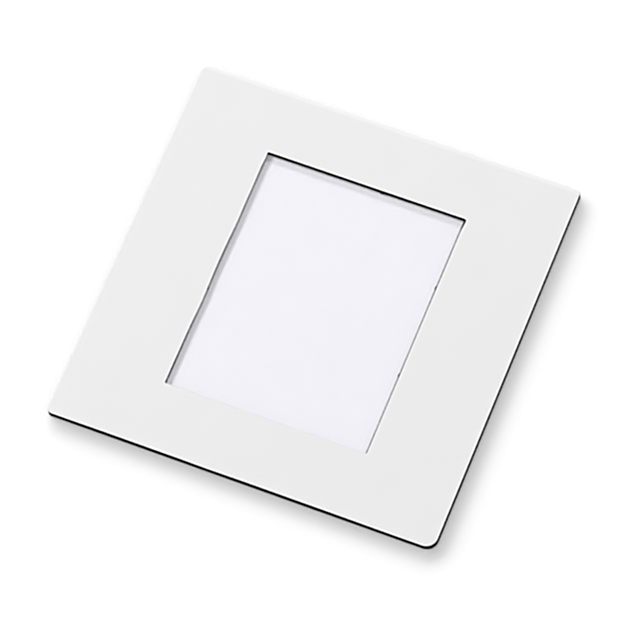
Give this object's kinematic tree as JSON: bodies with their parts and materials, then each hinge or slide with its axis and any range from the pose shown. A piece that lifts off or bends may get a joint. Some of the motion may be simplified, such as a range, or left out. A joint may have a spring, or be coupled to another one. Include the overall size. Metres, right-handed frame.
{
  "type": "magnetic photo frame",
  "caption": "Flat square magnetic photo frame with a white face, black board edges, a rectangular window and a white card that slides in from the top edge.",
  "frame": {"origin": "centre of the magnetic back face, which lies on the surface", "axes": "+Z out of the white face, +Y towards the edge where the card slides out, +X to the right when the face is read"},
  "size_m": [0.1, 0.1, 0.002],
  "materials": {
    "face_film": "white self-adhesive film, satin",
    "core_board": "black-core board, die-cut edges",
    "spacer": "black card strip with adhesive on both faces",
    "tape": "thin double-sided tissue tape",
    "window_sheet": "clear polyester film",
    "photo_card": "bare white photo card, matt",
    "magnet_sheet": "flexible magnet sheet, dull dark brown"
  },
  "bodies": {
    "frame": {"face_film": "face_film", "core_board": "core_board", "spacer_left": "spacer", "spacer_right": "spacer", "spacer_bottom": "spacer", "window_sheet": "window_sheet", "window_tape_top": "tape", "window_tape_bottom": "tape", "window_tape_left": "tape", "window_tape_right": "tape", "magnet_sheet": "magnet_sheet"},
    "card": {"photo_card": "photo_card"}
  },
  "joints": [
    {"name": "card_slide", "type": "slide", "parent": "frame", "child": "card", "axis": [0, 1, 0], "range_m": [0, 0.095]}
  ]
}
